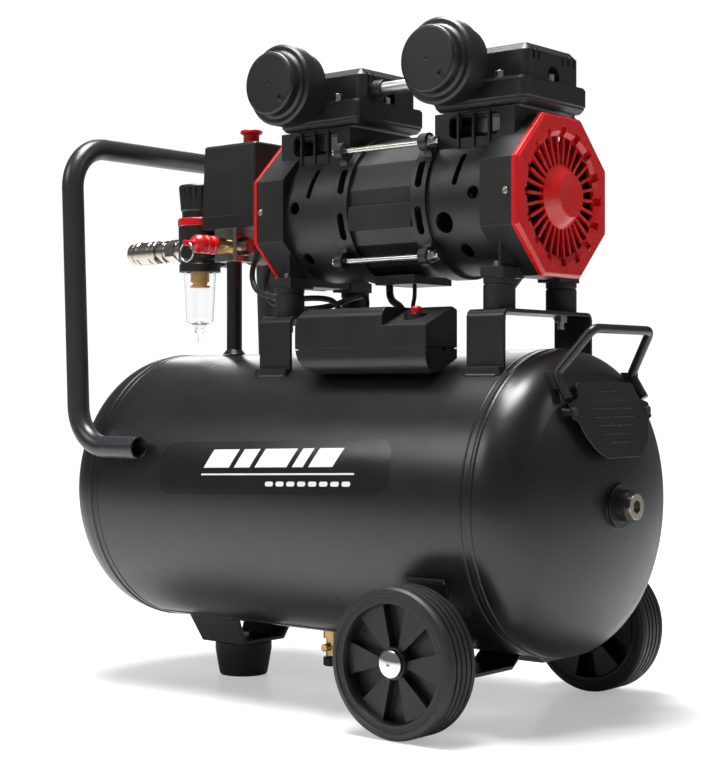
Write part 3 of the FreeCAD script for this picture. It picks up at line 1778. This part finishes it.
def gauge_places():
    """The tank gauge on the manifold and the outlet gauge on the regulator."""
    yield "tank", dim.riser_x, dim.line_y + dim.manifold_half + 8
    yield "outlet", dim.regulator_x, dim.line_y + 24


def make_gauges():
    cases, dials = [], []
    for name, x, stub_end in gauge_places():
        radius = dim.gauge_radius
        depth = dim.gauge_front_y - stub_end
        outline = [
            (0, 0),
            (radius - 3, 0),
            (radius, 2),
            (radius, depth - 2),
            (radius - 0.6, depth),
            (radius - 1.5, depth),
            (radius - 1.5, depth - 4),
            (0, depth - 4),
        ]
        at = (x, stub_end, dim.gauge_z)
        pin, pin_fit = 0.8, 0.85
        pin_start = (x, dim.gauge_front_y - 8, dim.gauge_z)
        case = revolved(name + "_case_turning", outline, at, "+Y")
        case_bore = rod(name + "_case_bore", pin_fit, 6, pin_start, "+Y")
        cases.append(cut("gauge_case_" + name, case, case_bore))
        disc_at = (x, dim.gauge_front_y - 3.95, dim.gauge_z)
        disc = rod(name + "_dial_disc", radius - 1.7, 0.8, disc_at, "+Y")
        disc_bore = rod(name + "_dial_bore", pin_fit, 9, pin_start, "+Y")
        dials.append(cut("gauge_dial_" + name, disc, disc_bore))
        spindle = rod(name + "_spindle", pin, 6, (x, dim.gauge_front_y - 7.5, dim.gauge_z), "+Y")
        needle_at = (x, dim.gauge_front_y - 2.9, dim.gauge_z)
        hub = rod(name + "_needle_hub", 2.2, 1.4, needle_at, "+Y")
        pointer = padded(
            name + "_pointer",
            [(-1, 4), (1, 4), (0.3, -11), (-0.3, -11)],
            0.6,
            (x, dim.gauge_front_y - 2.3, dim.gauge_z),
            Rotation(Vector(0, 1, 0), 315).multiply(OUTLINE_XZ),
        )
        add_node(fuse("gauge_needle_" + name, spindle, hub, pointer))
    add_node(group("gauge_cases", *cases))
    add_node(group("gauge_dials", *dials))


def make_check_valve():
    x, y = dim.check_x, dim.check_y
    foot = 291
    body = revolved(
        "check_body",
        [(0, 0), (9, 0), (9, 3), (7.5, 4), (7.5, 20), (0, 20)],
        (x, y, foot),
    )
    nut = hexagon("check_nut", 16, 8, (x, y, size(foot + 8)))
    add_node(cut("check_valve", fuse("check_solid", body, nut), tank_solid("tank_under_check")))


def make_discharge_hose():
    """From the right cylinder head down behind the motor to the check valve."""
    x, y = number("check_x"), number("check_y")
    head = number("motor_x") + number("pump_offset") + number("head_shift")
    points = [
        Vector(x, y, 312.05),
        Vector(x + 1, y + 6, 342),
        Vector(x + 8, y + 37, 368),
        Vector(x + 24, y + 49, 408),
        Vector(head - 14, y + 51, 452),
        Vector(head - 3, y + 48, 497),
        Vector(head, y + 32, 527),
        Vector(head, number("cover_back_y") + 8, 533),
    ]
    radii = easy_radii(points)
    solid, length = swept(points, radii, 5)
    print("discharge hose: length %.0f mm, radii" % length, [round(value, 1) for value in radii])
    add_node(feature("discharge_hose", solid))


# ---- capacitor housing and cables -------------------------------------------


def make_capacitor_box():
    left, right, low, top = dim.box_left, dim.box_right, dim.box_low_z, dim.box_top_z
    front, back = dim.box_front_y, dim.box_back_y
    section = padded(
        "box_section",
        [
            (front, low + 14, 14),
            (front + 14, low),
            (back, low + 12.5),
            (back, top - 4, 4),
            (back - 4, top),
            (front + 9, top, 9),
            (front, top - 9),
        ],
        right - left,
        (left, 0, 0),
        OUTLINE_YZ,
    )
    side = padded(
        "box_side",
        [
            (left + 26, low - 1),
            (right - 4, low - 1),
            (right, low + 3),
            (right, top - 3),
            (right - 4, top + 1),
            (left + 14, top + 1, 20),
            (left, top - 16),
            (left, low + 24, 26),
        ],
        70,
        (0, -35, 0),
        OUTLINE_XZ,
    )
    solid = common("box_solid", section, side)
    recess = padded(
        "box_recess",
        [(-96, 317.5), (-44, 339.3), (-44, 348), (-96, 348)],
        right - 95,
        (size(100), 0, 0),
        OUTLINE_YZ,
    )
    bezel = rod("reset_bezel", 10, 12, (dim.reset_x, dim.reset_y, 318))
    hole = rod("reset_hole", 4.5 + SLIDE_GAP, 24, (dim.reset_x, dim.reset_y, 314))
    end_hole = rod("end_hole", 2, 6, (right - 3, -66, 301), "+X")
    seam = (dim.box_seam_z - 0.4, dim.box_seam_z + 0.4)
    band = block("seam_band", (left - 5, right + 5), (front - 5, back + 5), seam)
    core = block("seam_core", (left + 3, right - 2), (front + 0.8, back - 0.8), (280, 320))
    groove = cut("seam_groove", band, core)
    shaped = fuse("box_with_bezel", cut("box_shaped", solid, recess), bezel)
    add_node(cut("capacitor_case", shaped, hole, end_hole, groove))
    button = revolved(
        "reset_button",
        [(0, -7), (4.5, -7), (4.5, 4.5), (3.5, 6), (0, 6.5)],
        (dim.reset_x, dim.reset_y, 330),
    )
    add_node(button)


def make_motor_cables():
    """The leads from the switch and the stator to the capacitor housing."""
    base_z = number("switch_base_z")
    tray_z = number("motor_z") - number("stator_half") - 7
    routes = {
        "feed lead": (
            2.6,
            [
                Vector(-112, -6, base_z - 0.5),
                Vector(-116, -8, 396),
                Vector(-121, -12, 376),
                Vector(-112, -16, 360),
                Vector(-90, -18, 353),
                Vector(-60, -19, 350),
                Vector(-28, -22, 350),
                Vector(0, -32, 346),
                Vector(22, -45.4, 326),
            ],
        ),
        "return lead": (
            2.6,
            [
                Vector(-108, 14, base_z - 0.5),
                Vector(-116, 12, 390),
                Vector(-120, 6, 367),
                Vector(-110, 0, 351),
                Vector(-88, -3, 344),
                Vector(-56, -6, 341),
                Vector(-24, -8, 343),
                Vector(4, -14, 349),
                Vector(30, -26, 350),
                Vector(41, -38, 341),
                Vector(44, -45.4, 326),
            ],
        ),
        "stator lead": (
            3.2,
            [
                Vector(50, -18, tray_z),
                Vector(51, -19, 350),
                Vector(60, -27, 344),
                Vector(78, -38, 338),
                Vector(88, -44.9, 330),
            ],
        ),
        "thin lead": (
            1.8,
            [
                Vector(79, -20, tray_z),
                Vector(80, -21, 351),
                Vector(86, -29, 346),
                Vector(93, -40, 339),
                Vector(97, -46.1, 330),
            ],
        ),
    }
    solids = []
    for name, (radius, points) in routes.items():
        radii = easy_radii(points)
        solid, length = swept(points, radii, radius)
        print(f"{name}: length {length:.0f} mm, radii", [round(value, 1) for value in radii])
        solids.append(feature(name.replace(" ", "_"), solid))
    add_node(group("motor_cables", *solids))


# ---- fasteners --------------------------------------------------------------


def socket_head(name, radius, height, at, along="+Z"):
    """A round screw head with a hexagonal socket; its underside is at the point."""
    head = rod(name + "_round", radius, height, at, along)
    axis = {"X": 0, "Y": 1, "Z": 2}[along[1]]
    entry = list(at)
    entry[axis] = entry[axis] + (1 if along[0] == "+" else -1) * size(height) * 0.5
    socket = hexagon(name + "_socket", size(radius) * 1.1, height, entry, along)
    return cut(name, head, socket)


def cap_screw(name, radius, height, shank, reach, at):
    """A socket-head screw that stands on a point, with its shank below."""
    body = rod(name + "_shank", shank, reach, at, "-Z")
    return fuse(name, socket_head(name + "_head", radius, height, at), body)


def make_fasteners():
    solids = []
    for side_name, side in SIDES.items():
        for index, x, y in bolt_places(side):
            at = (x, y, dim.head_top_z)
            solids.append(socket_head(f"head_bolt_{side_name}_{index}", 4, 6, at))
        for row_name, (row, along) in FRONT_REAR.items():
            at = (dim.motor_x + side * size(131.5), row * dim.octagon_half, dim.motor_z)
            solids.append(socket_head(f"cover_screw_{side_name}_{row_name}", 2.8, 1.8, at, along))
    foot_top = dim.bridge_top_z + dim.mount_height + 9
    under = dim.bridge_top_z - dim.sheet
    for name, x, y in mount_places():
        bolt = cap_screw(
            "mount_bolt_" + name, 5, 4.5, dim.mount_bolt, foot_top - under + 11, (x, y, foot_top)
        )
        nut = hexagon(f"mount_nut_{name}", 10, 5, (x, y, under), "-Z")
        solids.append(fuse("mount_set_" + name, bolt, nut))
    at = (dim.foot_x, 0, dim.foot_height + dim.sheet)
    solids.append(cap_screw("foot_screw", 6, 4, 3, 24, at))
    add_node(group("fasteners", *solids))


# ---- build and hand in ------------------------------------------------------


def check_document():
    """Every object must be free of errors and every sub-part a valid solid."""
    doc.recompute()
    faults = []
    for thing in doc.Objects:
        if "Invalid" in thing.State or "Error" in thing.State:
            faults.append(f"{thing.Name} is {thing.State}")
        elif thing.isDerivedFrom("Part::Feature") and not thing.isDerivedFrom("Sketcher::SketchObject"):
            if thing.Shape.isNull() or not thing.Shape.isValid() or not thing.Shape.Solids:
                faults.append(f"{thing.Name} has no valid solid")
    if faults:
        raise RuntimeError("; ".join(faults))


def main():
    make_receiver()
    make_drain_valve()
    make_foot()
    make_wheel_bracket()
    make_axles()
    make_wheels()
    make_push_handle()
    make_lifting_handle()
    make_rating_plate()
    make_bridges()
    make_rubber_mounts()
    make_motor()
    make_fan_covers()
    make_tie_rods()
    make_pistons()
    make_cylinders()
    make_heads()
    make_intake_filters()
    make_transfer_pipe()
    make_riser()
    make_manifold()
    make_switch()
    make_regulator()
    make_coupler()
    make_safety_valve()
    make_gauges()
    make_check_valve()
    make_discharge_hose()
    make_capacitor_box()
    make_motor_cables()
    make_fasteners()
    check_document()
    os.makedirs("parts", exist_ok=True)
    for node in nodes:
        node.Shape.exportStep(f"parts/{node.Label}.step")
    print(len(nodes), "nodes written")


main()
